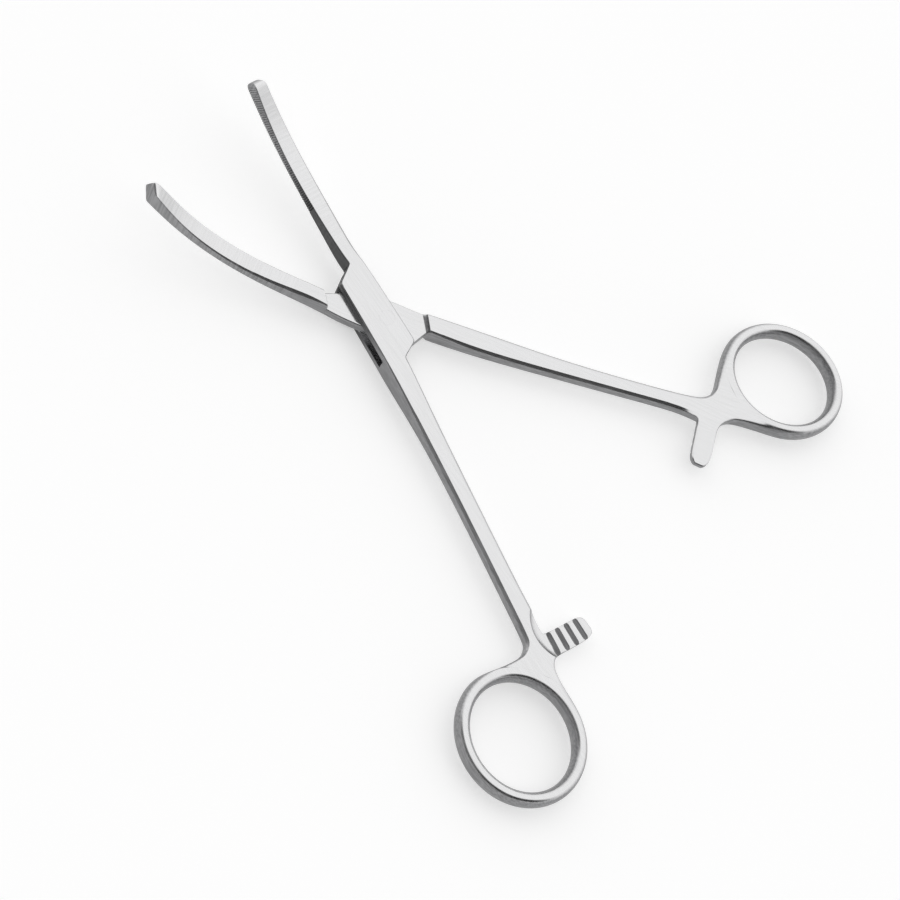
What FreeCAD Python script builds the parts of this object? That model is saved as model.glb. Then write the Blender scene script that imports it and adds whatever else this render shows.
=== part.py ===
import FreeCAD, Part
import math
import os
import Sketcher

# Angiotribe forceps: two crossed arms with finger rings, turning on a pin inside a box lock.
# Each arm is drawn as it lies when the forceps are closed: pivot at the origin, jaws towards +X,
# mid-plane at Z = 0. The female arm has its ring on the +Y side and its jaw on the -Y side, and
# the male arm is its mirror image, thinned to a web that passes through the slot of the box.

SIZES = {
    # whole tool
    "ring_reach": 91.7,          # pivot to ring centre
    "ring_spread": 18.0,         # ring centre from the tool's axis when closed, degrees
    "rest_opening": 34.6,        # angle between the jaws as stored, degrees
    "grip_gap": 0.10,            # between the two grip faces when closed
    # finger rings
    "ring_hole_length": 23.2,
    "ring_hole_width": 20.7,
    "ring_end_radius": 9.65,     # of the hole's tighter ends
    "ring_wire_width": 3.1,
    "ring_wire_height": 4.7,
    # shanks, each a bevelled bar that tapers from the lock to the ring
    "female_start": 26.4,
    "female_start_offset": 6.05,
    "female_start_width": 4.25,
    "female_start_height": 3.45,
    "female_end_offset": 13.3,
    "female_end_width": 4.1,
    "male_root": 21.3,
    "male_root_offset": 4.95,
    "male_root_width": 5.1,
    "male_root_height": 3.45,
    "male_start": 39.3,
    "male_start_offset": 7.5,
    "male_start_width": 3.8,
    "male_end_offset": 12.85,
    "male_end_width": 3.6,
    "shank_end_height": 3.2,
    "shank_bevel": 0.6,
    # flare from the shank into the ring
    "flare_length": 21.7,        # from the shank's end to the middle of the ring
    "flare_outer_run": 3.5,      # of the fillet outside the shank, along and across the tool
    "flare_outer_rise": 3.3,
    "flare_outer_radius": 3.7,
    "flare_outer_angle": 8.0,    # where the flare meets the ring, degrees
    "flare_inner_run": 1.2,      # of the fillet behind the lock bar
    "flare_inner_rise": 1.7,
    "flare_inner_radius": 1.7,
    "flare_inner_angle": 82.0,
    # box lock
    "box_height": 6.0,
    "box_nose": 14.0,
    "box_heel": 13.0,
    "cheek_front": 11.2,
    "cheek_width": 4.3,
    "shoulder_back": 7.2,
    "shoulder_width": 2.4,
    "waist_back": 9.2,
    "waist_width": 1.6,
    "web_height": 2.6,
    "web_front": 8.2,
    "web_front_width": 3.0,
    "web_crest_width": 5.1,
    "riser_back": 8.4,
    "riser_offset": 2.65,
    "riser_lean": 0.54,          # run along the tool per unit across it
    "slot_back_lean": 0.39,
    "male_heel_height": 4.8,
    "lock_play": 0.05,           # web to cheek, each side
    "step_gap": 0.30,            # shoulders that face each other when closed
    "pin_diameter": 3.4,
    "pin_play": 0.04,            # radial, in the male web
    # jaws
    "jaw_root_width": 3.35,
    "jaw_back_radius": 190.0,
    "grip_hollow_radius": 490.0, # the tips meet first, and the hollow closes under load
    "jaw_tip_width": 2.7,
    "jaw_root_under": 1.4,       # underside of the jaw root below the mid-plane
    "bend_start": 17.0,
    "bend_radius": 65.6,
    "bend_angle": 34.3,          # degrees
    "under_radius": 120.0,
    "jaw_tip_height": 3.5,
    "nose_radius": 2.0,
    # lock bars
    "female_bar_setback": 15.6,  # how much nearer the pivot than the ring the bar lies
    "female_bar_width": 5.0,
    "female_bar_end": 2.2,       # bar's end from the tool's axis when closed
    "male_bar_setback": 17.5,
    "male_bar_width": 4.7,
    "male_bar_end": 0.5,
    "bar_nose_radius": 3.6,
    "bar_play": 0.10,            # between the two toothed faces
    "tooth_depth": 0.75,
    "tooth_pitch": 2.3,
    "tooth_land": 0.9,
    "tooth_start": 2.75,
    "tooth_count": 4,
    "scoop_low": 11.3,           # ground slope from the shank down to the female bar
    "scoop_high": 13.7,
}

doc = FreeCAD.newDocument("angiotribe_forceps")
sheet = doc.addObject("Spreadsheet::Sheet", "Sizes")
for row, (alias, number) in enumerate(SIZES.items(), start=1):
    sheet.set("A%d" % row, alias)
    sheet.set("B%d" % row, str(number))
    sheet.setAlias("B%d" % row, alias)
doc.recompute()


class Size:
    """A length or angle: its present value, and the formula over the sheet that gives it."""

    def __init__(self, value, formula):
        self.value = value
        self.formula = formula

    def __add__(self, other):
        other = plain(other)
        return Size(self.value + other.value, "(%s + %s)" % (self.formula, other.formula))

    def __sub__(self, other):
        other = plain(other)
        return Size(self.value - other.value, "(%s - %s)" % (self.formula, other.formula))

    def __mul__(self, other):
        other = plain(other)
        return Size(self.value * other.value, "(%s * %s)" % (self.formula, other.formula))

    def __truediv__(self, other):
        other = plain(other)
        return Size(self.value / other.value, "(%s / %s)" % (self.formula, other.formula))

    def __neg__(self):
        return Size(-self.value, "(0 - %s)" % self.formula)


def plain(number):
    return number if isinstance(number, Size) else Size(float(number), "%.9f" % number)


def size(alias):
    return Size(float(sheet.get(alias)), "Sizes." + alias)


def sine(angle):
    return Size(math.sin(math.radians(angle.value)), "sin(%s)" % angle.formula)


def cosine(angle):
    return Size(math.cos(math.radians(angle.value)), "cos(%s)" % angle.formula)


def leg(longest, side):
    """The third side of a right-angled triangle."""
    return Size(math.sqrt(longest.value ** 2 - side.value ** 2),
                "sqrt(%s ^ 2 - %s ^ 2)" % (longest.formula, side.formula))


class Arc:
    """The stretch to the next corner is an arc that bows to the left (+1) or the right (-1)."""

    def __init__(self, radius, bow):
        self.radius = plain(radius)
        self.bow = bow


LEAST_CUT = 1e-3    # smallest volume that counts as cut away, mm3


def origin_plane(body, role):
    return next(f for f in body.Origin.OriginFeatures if f.Role == role)


def own(side, name):
    """A size that each arm has for itself."""
    return size(("female_" if side > 0 else "male_") + name)


def new_sketch(body, name, role, lift=None):
    sketch = body.newObject("Sketcher::SketchObject", name)
    sketch.AttachmentSupport = [(origin_plane(body, role), "")]
    sketch.MapMode = "FlatFace"
    if lift is not None:
        sketch.AttachmentOffset = FreeCAD.Placement(FreeCAD.Vector(0, 0, lift.value), FreeCAD.Rotation())
        sketch.setExpression("AttachmentOffset.Base.z", lift.formula)
    return sketch


def bind(sketch, constraint, formula):
    index = sketch.addConstraint(constraint)
    sketch.setExpression("Constraints[%d]" % index, formula)


def arc_geometry(start, end, radius, bow):
    """A minor arc between two points, and whether it runs backwards (clockwise)."""
    chord = end - start
    middle = (start + end) / 2
    rise = math.sqrt(max(radius * radius - chord.Length * chord.Length / 4, 0.0))
    left = FreeCAD.Vector(-chord.y, chord.x, 0).normalize()
    centre = middle - left * (rise * bow)
    first, last = (end, start) if bow > 0 else (start, end)
    first_angle = math.atan2(first.y - centre.y, first.x - centre.x)
    last_angle = math.atan2(last.y - centre.y, last.x - centre.x)
    circle = Part.Circle(centre, FreeCAD.Vector(0, 0, 1), radius)
    return Part.ArcOfCircle(circle, first_angle, last_angle), bow > 0


def closed_outline(sketch, items):
    """Draw a closed outline: corners as (x, y) sizes, with an Arc before a corner it bows to."""
    corners = [item for item in items if not isinstance(item, Arc)]
    arcs = {}
    for position, item in enumerate(items):
        if isinstance(item, Arc):
            arcs[sum(1 for other in items[:position] if not isinstance(other, Arc)) - 1] = item
    points = [FreeCAD.Vector(x.value, y.value, 0) for x, y in corners]
    ends = []
    for k, start in enumerate(points):
        end = points[(k + 1) % len(points)]
        if k in arcs:
            curve, backwards = arc_geometry(start, end, arcs[k].radius.value, arcs[k].bow)
        else:
            curve, backwards = Part.LineSegment(start, end), False
        ends.append((sketch.addGeometry(curve, False), backwards))
    for k, (geometry, backwards) in enumerate(ends):
        start_point, end_point = (2, 1) if backwards else (1, 2)
        following, following_backwards = ends[(k + 1) % len(ends)]
        following_start = 2 if following_backwards else 1
        sketch.addConstraint(
            Sketcher.Constraint("Coincident", geometry, end_point, following, following_start))
        x, y = corners[k]
        bind(sketch, Sketcher.Constraint("DistanceX", -1, 1, geometry, start_point, x.value), x.formula)
        bind(sketch, Sketcher.Constraint("DistanceY", -1, 1, geometry, start_point, y.value), y.formula)
        if k in arcs:
            radius = arcs[k].radius
            bind(sketch, Sketcher.Constraint("Radius", geometry, radius.value), radius.formula)


def circle_outline(sketch, x, y, radius):
    circle = Part.Circle(FreeCAD.Vector(x.value, y.value, 0), FreeCAD.Vector(0, 0, 1), radius.value)
    geometry = sketch.addGeometry(circle, False)
    bind(sketch, Sketcher.Constraint("DistanceX", -1, 1, geometry, 3, x.value), x.formula)
    bind(sketch, Sketcher.Constraint("DistanceY", -1, 1, geometry, 3, y.value), y.formula)
    bind(sketch, Sketcher.Constraint("Radius", geometry, radius.value), radius.formula)


def ellipse_outline(sketch, x, y, half_x, half_y):
    """An upright ellipse: its longer axis lies along the sketch's own Y."""
    centre = FreeCAD.Vector(x.value, y.value, 0)
    top = centre + FreeCAD.Vector(0, half_y.value, 0)
    side = centre - FreeCAD.Vector(half_x.value, 0, 0)
    ellipse = sketch.addGeometry(Part.Ellipse(top, side, centre), False)
    sketch.exposeInternalGeometry(ellipse)
    long_axis, short_axis = ellipse + 1, ellipse + 2
    sketch.addConstraint(Sketcher.Constraint("Vertical", long_axis))
    bind(sketch, Sketcher.Constraint("DistanceX", -1, 1, ellipse, 3, x.value), x.formula)
    bind(sketch, Sketcher.Constraint("DistanceY", -1, 1, ellipse, 3, y.value), y.formula)
    bind(sketch, Sketcher.Constraint("Distance", long_axis, half_y.value * 2), "2 * " + half_y.formula)
    bind(sketch, Sketcher.Constraint("Distance", short_axis, half_x.value * 2), "2 * " + half_x.formula)


def pad(body, name, sketch, height, way="both ways"):
    feature = body.newObject("PartDesign::Pad", name)
    feature.Profile = sketch
    feature.SideType = "Symmetric" if way == "both ways" else "One side"
    feature.Length = height.value
    feature.setExpression("Length", height.formula)
    doc.recompute()


def cut(body, name, sketch, depth, way):
    """Cut a sketch out of the body, and make sure that it took something away."""
    before = body.Shape.Volume
    feature = body.newObject("PartDesign::Pocket", name)
    feature.Profile = sketch
    feature.SideType = "Symmetric" if way == "both ways" else "One side"
    feature.Reversed = way == "upwards"
    feature.Length = depth.value
    feature.setExpression("Length", depth.formula)
    doc.recompute()
    check_removed(body, name, before)
    return feature


def check_removed(body, name, before):
    if body.Shape.Volume > before - LEAST_CUT:
        raise RuntimeError(name + " cuts nothing")


def polar_row(body, name, feature, axis, step, count, clockwise):
    """Repeat a cut at equal angles about one of the body's own axes."""
    before = body.Shape.Volume
    row = body.newObject("PartDesign::PolarPattern", name)
    row.Originals = [feature]
    row.Axis = (origin_plane(body, axis), [""])
    row.Reversed = clockwise
    row.Mode = "Spacing"
    row.Offset = step.value
    row.setExpression("Offset", step.formula)
    row.Occurrences = int(count.value)
    row.setExpression("Occurrences", count.formula)
    body.Tip = row
    doc.recompute()
    check_removed(body, name, before)


HALF = 0.5
MARGIN = 4.0        # how far a cut's outline runs past the metal
FLARE_TUCK = 10.0   # degrees by which the flare's ends are tucked into the ring's wire
THINNING_LEAD = 2.0     # the arm is down to the shank's height this far before the bevels start


def mirrored(items, side):
    """An outline of the female arm, or its mirror image for the male arm."""
    if side > 0:
        return items
    return [Arc(i.radius, -i.bow) if isinstance(i, Arc) else (i[0], -i[1]) for i in items]


def shank_end():
    """Distance from the pivot to where the shank ends and the flare begins."""
    return size("ring_reach") - size("flare_length")


def bar_reach(side):
    """Distance from the pivot to the middle of the lock bar."""
    return size("ring_reach") - own(side, "bar_setback")


def shank_edge(side, x, edge):
    """Distance from the tool's axis to the shank's outer (+1) or inner (-1) edge at x."""
    run = shank_end() - own(side, "start")
    start = own(side, "start_offset") + own(side, "start_width") * (HALF * edge)
    end = own(side, "end_offset") + own(side, "end_width") * (HALF * edge)
    return start + (end - start) * (x - own(side, "start")) / run


def ring_centre():
    spread = size("ring_spread")
    return -(size("ring_reach") * cosine(spread)), size("ring_reach") * sine(spread)


def ring_point(angle, half_wires):
    """A point on the ring's wire: 0 on its centre line, 1 on its outer contour."""
    x, y = ring_centre()
    half_long = (size("ring_hole_length") + size("ring_wire_width") * (1 + half_wires)) * HALF
    half_short = (size("ring_hole_width") + size("ring_wire_width") * (1 + half_wires)) * HALF
    return x + half_long * cosine(angle), y - half_short * sine(angle)


def jaw_tip():
    """Upper corner of the jaw's tip, seen from the side."""
    angle = size("bend_angle")
    x = size("bend_start") + size("bend_radius") * sine(angle)
    z = size("box_height") * HALF + size("bend_radius") * (plain(1) - cosine(angle))
    return x, z


def jaw_underside_tip():
    x, z = jaw_tip()
    angle = size("bend_angle")
    return x + size("jaw_tip_height") * sine(angle), z - size("jaw_tip_height") * cosine(angle)


def arm_blank(body, side):
    """Jaw, lock and shank as one flat blank. The side outline is cut from it afterwards."""
    grip = -(size("grip_gap") * HALF)
    tip_x = jaw_underside_tip()[0]
    start, end = own(side, "start"), shank_end()
    lock_front = [(size("cheek_front"), size("cheek_width"))]
    outer_root, inner_root = [], []
    if side < 0:
        lock_front = [(size("web_front"), size("web_front_width")), (plain(0), size("web_crest_width"))]
        root, offset, half_width = size("male_root"), size("male_root_offset"), size("male_root_width") * HALF
        outer_root, inner_root = [(-root, offset + half_width)], [(-root, offset - half_width)]
    outline = [
        (size("box_nose"), grip),
        *lock_front,
        *outer_root,
        (-start, shank_edge(side, start, 1)),
        (-end, shank_edge(side, end, 1)),
        (-end, shank_edge(side, end, -1)),
        (-start, shank_edge(side, start, -1)),
        *inner_root,
        (-size("waist_back"), size("waist_width")),
        (-size("shoulder_back"), -size("shoulder_width")),
        (size("box_nose"), -size("jaw_root_width")),
        Arc(size("jaw_back_radius"), -1),
        (tip_x, -size("jaw_tip_width")),
        (tip_x + MARGIN, -size("jaw_tip_width")),
        (tip_x + MARGIN, grip),
        (tip_x, grip),
        Arc(size("grip_hollow_radius"), 1),
    ]
    sketch = new_sketch(body, body.Name + "_plan", "XY_Plane")
    closed_outline(sketch, mirrored(outline, side))
    pad(body, body.Name + "_blank", sketch, (jaw_tip()[1] + MARGIN) * 2)


def arm_side_cut(body, heel, heel_height, start, start_height):
    """Cut away all that lies outside the arm's side outline: the lock, the shank that thins
    behind it, and the jaw that bends up out of the plane of opening."""
    top = size("box_height") * HALF
    heel_half = heel_height * HALF
    start_half = start_height * HALF
    end_half = size("shank_end_height") * HALF
    end = shank_end() + MARGIN
    tip_x, tip_z = jaw_tip()
    under_x, under_z = jaw_underside_tip()
    sketch = new_sketch(body, body.Name + "_side", "XZ_Plane")
    closed_outline(sketch, [
        (-end, end_half),
        (-start + THINNING_LEAD, start_half),
        (-heel, heel_half),
        (-heel + MARGIN, top),
        (size("bend_start"), top),
        Arc(size("bend_radius"), -1),
        (tip_x, tip_z),
        Arc(size("nose_radius"), 1),
        (under_x, under_z),
        Arc(size("under_radius"), 1),
        (size("box_nose"), -size("jaw_root_under")),
        (size("box_nose") - MARGIN, -top),
        (-heel + MARGIN, -top),
        (-heel, -heel_half),
        (-start + THINNING_LEAD, -start_half),
        (-end, -end_half),
    ])
    left, right = -end - MARGIN, under_x + MARGIN * 2
    reach = tip_z + MARGIN * 2
    closed_outline(sketch, [(left, -reach), (right, -reach), (right, reach), (left, reach)])
    cut(body, body.Name + "_side_cut", sketch, size("female_end_offset") * 4, "both ways")


def oval(x, y, half_long, half_short, end_radius):
    """An oval of tangent arcs: tight ones at its ends, wide ones along its sides. It starts
    halfway along the upper side."""
    over = half_short - end_radius
    side_radius = (half_long * half_long + half_short * half_short - half_long * end_radius * 2) / (over * 2)
    spread = side_radius / (side_radius - end_radius)
    across = (half_long - end_radius) * spread
    up = (side_radius - half_short) * (spread - 1)
    return [
        (x, y + half_short),
        Arc(side_radius, -1),
        (x - across, y + up),
        Arc(end_radius, -1),
        (x - across, y - up),
        Arc(side_radius, -1),
        (x + across, y - up),
        Arc(end_radius, -1),
        (x + across, y + up),
        Arc(side_radius, -1),
    ]


def finger_ring(body, side):
    """The ring: an oval wire section carried round an oval path."""
    x, y = ring_centre()
    half_long = (size("ring_hole_length") + size("ring_wire_width")) * HALF
    half_short = (size("ring_hole_width") + size("ring_wire_width")) * HALF
    end_radius = size("ring_end_radius") + size("ring_wire_width") * HALF
    path = new_sketch(body, body.Name + "_ring_path", "XY_Plane")
    closed_outline(path, mirrored(oval(x, y, half_long, half_short, end_radius), side))
    section = new_sketch(body, body.Name + "_ring_section", "YZ_Plane", lift=x)
    ellipse_outline(section, (y + half_short) * side, plain(0),
                    size("ring_wire_width") * HALF, size("ring_wire_height") * HALF)
    doc.recompute()
    wire = body.newObject("PartDesign::AdditivePipe", body.Name + "_ring")
    wire.Profile = section
    wire.Spine = (path, ["Edge%d" % (k + 1) for k in range(len(path.Shape.Edges))])
    wire.Mode = "Standard"
    doc.recompute()


def ring_flare(body, side):
    """The web that spreads from the end of the shank into the ring, with a fillet outside the
    shank and another behind the lock bar."""
    root = shank_end() - MARGIN
    outer_start = shank_end()
    outer_y = shank_edge(side, outer_start, 1)
    bar_back = bar_reach(side) + own(side, "bar_width") * HALF
    inner_y = shank_edge(side, bar_back, -1)
    outline = [
        (-root, shank_edge(side, root, -1)),
        (-root, shank_edge(side, root, 1)),
        (-outer_start, outer_y),
        Arc(size("flare_outer_radius"), 1),
        (-outer_start - size("flare_outer_run"), outer_y + size("flare_outer_rise")),
        ring_point(size("flare_outer_angle"), 1),
        ring_point(size("flare_outer_angle") + FLARE_TUCK, 0),
        Arc((size("ring_hole_length") + size("ring_wire_width")) * HALF, 1),
        ring_point(size("flare_inner_angle") - FLARE_TUCK, 0),
        ring_point(size("flare_inner_angle"), 1),
        (-bar_back - size("flare_inner_run"), inner_y + size("flare_inner_rise")),
        Arc(size("flare_inner_radius"), 1),
        (-bar_back, inner_y),
    ]
    sketch = new_sketch(body, body.Name + "_flare_plan", "XY_Plane")
    closed_outline(sketch, mirrored(outline, side))
    pad(body, body.Name + "_flare", sketch, size("shank_end_height"))


def lock_bar(body, side):
    """The lock bar: a band that follows a circle round the pivot, half as high as the shank.
    The female arm's bar is the lower half with its teeth up, the male arm's the upper half."""
    near = bar_reach(side) - own(side, "bar_width") * HALF
    far = bar_reach(side) + own(side, "bar_width") * HALF
    end_y = own(side, "bar_end")
    root_y = shank_edge(side, bar_reach(side), 0)
    outline = [
        (-leg(near, end_y), end_y),
        Arc(near, 1),
        (-leg(near, root_y), root_y),
        (-leg(far, root_y), root_y),
        Arc(far, -1),
        (-leg(far, end_y), end_y),
        Arc(size("bar_nose_radius"), -1),
    ]
    height = (size("shank_end_height") - size("bar_play")) * HALF
    lift = -(size("shank_end_height") * HALF) if side > 0 else size("bar_play") * HALF
    sketch = new_sketch(body, body.Name + "_bar_plan", "XY_Plane", lift=lift)
    closed_outline(sketch, mirrored(outline, side))
    pad(body, body.Name + "_bar", sketch, height, "upwards")


def bar_scoop(body):
    """The ground slope from the top of the shank down to the toothed face of the female bar."""
    face = -(size("bar_play") * HALF)
    low, high = size("scoop_low"), size("scoop_high")
    top = size("shank_end_height") * HALF
    clear = top + MARGIN
    sketch = new_sketch(body, body.Name + "_scoop_plan", "YZ_Plane", lift=-bar_reach(1))
    closed_outline(sketch, [(low - MARGIN, face), (low, face), (high, top), (high, clear), (low - MARGIN, clear)])
    cut(body, body.Name + "_scoop", sketch, size("female_bar_width"), "both ways")


def bar_teeth(body, side):
    """Saw teeth: each notch has a steep wall towards the bar's end and a ramp behind it."""
    face = -(size("bar_play") * HALF)
    start = size("tooth_start")
    stop = start + size("tooth_pitch") - size("tooth_land")
    clear = face + size("tooth_depth")
    outline = [(start, clear), (start, face - size("tooth_depth")), (stop, face), (stop, clear)]
    reach = bar_reach(side)
    sketch = new_sketch(body, body.Name + "_tooth", "YZ_Plane", lift=-reach)
    closed_outline(sketch, [(y * side, z * side) for y, z in outline])
    notch = cut(body, body.Name + "_notch", sketch, own(side, "bar_width") * 2, "both ways")
    step = size("tooth_pitch") / reach * (180 / math.pi)
    polar_row(body, body.Name + "_teeth", notch, "Z_Axis", step, size("tooth_count"), side > 0)


def bevel_shank(body, side, name, near, far):
    """Bevel the four long edges of a stretch of the shank. Its near end is given as distance
    from the pivot, offset, width and height, and its far end as distance and offset."""
    near_x, near_offset, near_width, near_height = near
    far_x, far_offset = far
    bevel = size("shank_bevel")
    sketch = new_sketch(body, "%s_%s_bevel_plan" % (body.Name, name), "YZ_Plane", lift=-near_x)
    for edge in (1, -1):
        for face in (1, -1):
            y = near_offset + near_width * (HALF * edge)
            z = near_height * (HALF * face)
            corners = [
                (y - bevel * (2 * edge), z + bevel * face),
                (y + bevel * edge, z - bevel * (2 * face)),
                (y + bevel * edge, z + bevel * face),
            ]
            closed_outline(sketch, [(corner_y * side, corner_z) for corner_y, corner_z in corners])
    before = body.Shape.Volume
    feature = body.newObject("PartDesign::Pocket", "%s_%s_bevels" % (body.Name, name))
    feature.Profile = sketch
    feature.UseCustomVector = True
    run, rise = near_x - far_x, (far_offset - near_offset) * side
    feature.Direction = FreeCAD.Vector(run.value, rise.value, 0)
    feature.setExpression("Direction.x", run.formula)
    feature.setExpression("Direction.y", rise.formula)
    feature.Length = -run.value
    feature.setExpression("Length", (-run).formula)
    doc.recompute()
    check_removed(body, feature.Name, before)


def box_slot(body):
    """The slot through the box. Its front wall runs along the front edge of the closed male
    web, and its back wall stands clear of the web's corners."""
    nose = size("box_nose") + size("step_gap")
    reach = size("web_crest_width") + MARGIN
    front_lean = (size("box_nose") - size("web_front")) / size("web_front_width")
    back, back_y = size("waist_back"), size("waist_width")
    back_lean = size("slot_back_lean")
    sketch = new_sketch(body, body.Name + "_slot_plan", "XY_Plane")
    closed_outline(sketch, [
        (nose, plain(0)),
        (nose - front_lean * reach, -reach),
        (-back - back_lean * (reach + back_y), -reach),
        (-back + back_lean * (reach - back_y), reach),
        (nose + MARGIN, reach),
        (nose + MARGIN, plain(0)),
    ])
    height = size("web_height") + size("lock_play") * 2
    cut(body, body.Name + "_slot", sketch, height, "both ways")


def web_recess(body):
    """Thin the male arm to its web, above and below, from the step at the jaw, which faces the
    front shoulder of the female cheeks, back to the riser at the shank."""
    reach = size("web_crest_width") + MARGIN
    step_x = size("box_nose") + size("step_gap")
    step_lean = (size("box_nose") - size("cheek_front")) / size("cheek_width")
    riser_x, riser_y = -size("riser_back"), size("riser_offset")
    riser_lean = size("riser_lean")
    outline = [
        (step_x - step_lean * reach, -reach),
        (step_x + step_lean * reach, reach),
        (riser_x + riser_lean * (reach - riser_y), reach),
        (riser_x - riser_lean * (reach + riser_y), -reach),
    ]
    for name, direction in (("upper", 1), ("lower", -1)):
        lift = size("web_height") * (HALF * direction)
        sketch = new_sketch(body, "%s_%s_recess_plan" % (body.Name, name), "XY_Plane", lift=lift)
        closed_outline(sketch, mirrored(outline, -1))
        way = "upwards" if direction > 0 else "downwards"
        cut(body, "%s_%s_recess" % (body.Name, name), sketch, size("box_height"), way)


def pivot_bore(body, radius):
    sketch = new_sketch(body, body.Name + "_bore_plan", "XY_Plane")
    circle_outline(sketch, plain(0), plain(0), radius)
    cut(body, body.Name + "_bore", sketch, size("box_height") * 2, "both ways")


def set_down(part, turn):
    """Lift an arm so that the box stands on Z = 0, and turn it to its place in the open tool."""
    half = size("box_height") * HALF
    part.Placement = FreeCAD.Placement(
        FreeCAD.Vector(0, 0, half.value), FreeCAD.Rotation(FreeCAD.Vector(0, 0, 1), turn.value))
    part.setExpression("Placement.Base.z", half.formula)
    part.setExpression("Placement.Rotation.Angle", turn.formula)
    doc.recompute()


def female_arm():
    body = doc.addObject("PartDesign::Body", "female_arm")
    arm_blank(body, 1)
    start, height = size("female_start"), size("female_start_height")
    arm_side_cut(body, size("box_heel"), size("box_height"), start, height)
    bevel_shank(body, 1, "shank", (start, size("female_start_offset"), size("female_start_width"), height),
                (shank_end(), size("female_end_offset")))
    ring_flare(body, 1)
    box_slot(body)
    pivot_bore(body, size("pin_diameter") * HALF)
    finger_ring(body, 1)
    lock_bar(body, 1)
    bar_scoop(body)
    bar_teeth(body, 1)
    set_down(body, -(size("rest_opening") * HALF))
    return body


def male_arm():
    body = doc.addObject("PartDesign::Body", "male_arm")
    heel = size("riser_back") - MARGIN * HALF
    arm_blank(body, -1)
    root, start, height = size("male_root"), size("male_start"), size("male_root_height")
    arm_side_cut(body, heel, size("male_heel_height"), root, height)
    bevel_shank(body, -1, "neck", (root, size("male_root_offset"), size("male_root_width"), height),
                (start, size("male_start_offset")))
    bevel_shank(body, -1, "shank", (start, size("male_start_offset"), size("male_start_width"), height),
                (shank_end(), size("male_end_offset")))
    ring_flare(body, -1)
    web_recess(body)
    pivot_bore(body, size("pin_diameter") * HALF + size("pin_play"))
    finger_ring(body, -1)
    lock_bar(body, -1)
    bar_teeth(body, -1)
    set_down(body, size("rest_opening") * HALF)
    return body


def pivot_pin():
    """The rivet, ground flush with both cheeks."""
    pin = doc.addObject("Part::Cylinder", "pivot_pin")
    pin.setExpression("Radius", "Sizes.pin_diameter / 2")
    pin.setExpression("Height", "Sizes.box_height")
    doc.recompute()
    return pin


parts = [female_arm(), male_arm(), pivot_pin()]
for part in parts:
    part.Label = part.Name
doc.recompute()

for item in doc.Objects:
    if "Invalid" in item.State or "Error" in item.State:
        raise RuntimeError("%s failed: %s" % (item.Name, item.State))
for part in parts:
    if part.Shape.isNull() or not part.Shape.isValid() or len(part.Shape.Solids) != 1:
        raise RuntimeError("%s is not one valid solid" % part.Label)

os.makedirs("parts", exist_ok=True)
for part in parts:
    part.Shape.exportStep("parts/%s.step" % part.Label)
    print(part.Label, "volume %.2f mm3" % part.Shape.Volume, part.Shape.BoundBox)
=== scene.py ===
import bmesh
import bpy
import math
from mathutils import Matrix, Vector


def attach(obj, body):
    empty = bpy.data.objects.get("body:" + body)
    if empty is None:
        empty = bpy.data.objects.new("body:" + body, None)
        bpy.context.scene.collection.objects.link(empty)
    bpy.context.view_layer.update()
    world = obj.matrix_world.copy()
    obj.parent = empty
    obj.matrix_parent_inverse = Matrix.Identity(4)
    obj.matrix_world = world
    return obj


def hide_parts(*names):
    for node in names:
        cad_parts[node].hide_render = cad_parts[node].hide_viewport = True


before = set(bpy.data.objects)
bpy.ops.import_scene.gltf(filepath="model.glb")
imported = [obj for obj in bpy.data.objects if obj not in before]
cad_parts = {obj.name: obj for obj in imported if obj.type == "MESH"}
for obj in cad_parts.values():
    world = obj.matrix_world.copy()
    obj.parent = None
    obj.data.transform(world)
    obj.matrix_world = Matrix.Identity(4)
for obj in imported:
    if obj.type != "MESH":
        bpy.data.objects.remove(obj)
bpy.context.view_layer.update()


# The picture: a tool photographed from its rings' end, steeply from above. The camera stands
# where the photograph was taken from, worked out from the two rings and the box lock.
FOCAL_PIXELS = 2239.0
PICTURE_PIXELS = 900.0
SENSOR_MM = 36.0
CAMERA_PLACE = (-0.02542, 0.23230, 0.41219)
CAMERA_TURN = (22.3055, -17.6718, -144.1087)

camera_data = bpy.data.cameras.new("camera")
camera_data.sensor_fit = "HORIZONTAL"
camera_data.sensor_width = SENSOR_MM
camera_data.lens = FOCAL_PIXELS / PICTURE_PIXELS * SENSOR_MM
camera_data.clip_start = 0.01
camera = bpy.data.objects.new("camera", camera_data)
camera.location = CAMERA_PLACE
camera.rotation_euler = [math.radians(angle) for angle in CAMERA_TURN]
bpy.context.scene.collection.objects.link(camera)
bpy.context.scene.camera = camera
bpy.context.scene.view_settings.view_transform = "Standard"


# The female arm: one stainless forging, ground and polished. Its box is slotted for the other
# arm and holds the pin, its jaw is bent up and serrated, and its ring and lock bar grow out of
# the shank's end.
MM = 0.001                  # the arms are drawn in mm and set down in metres
REST_OPENING = 34.6         # degrees between closed and the pose of the picture
GRIP = -0.05                # the grip face, just clear of the tool's axis
BOX_HALF = 3.0              # half the box's height
RING_REACH = 91.7
RING_SPREAD = 18.0
RING_HOLE = (23.2, 20.7)
RING_WIRE = (3.1, 4.7)
RING_STATIONS = 20          # cage rows round the ring
RING_COLUMNS = 16           # cage points round its wire
FLARE_STATIONS = 5          # stretch of ring, in stations, that the flare grows out of
FLARE_CREST = 2.2           # half the flare's height where it runs into the ring
RING_UPPER = 2              # ring column that the flare's upper face meets
ROW_ACROSS = 6              # cage points across an arm's upper or lower face
ROW_DOWN = 3                # cage points down each side, between the faces' own
FACE_SHARES = (0.36, 0.64)  # where the middle points stand across a face
SIDE_SHARES = (0.3, 0.5, 0.7)
SUBDIVISIONS = 3
SHARP_ANGLE = 30.0          # degrees, past which an edge is shaded sharp

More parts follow.
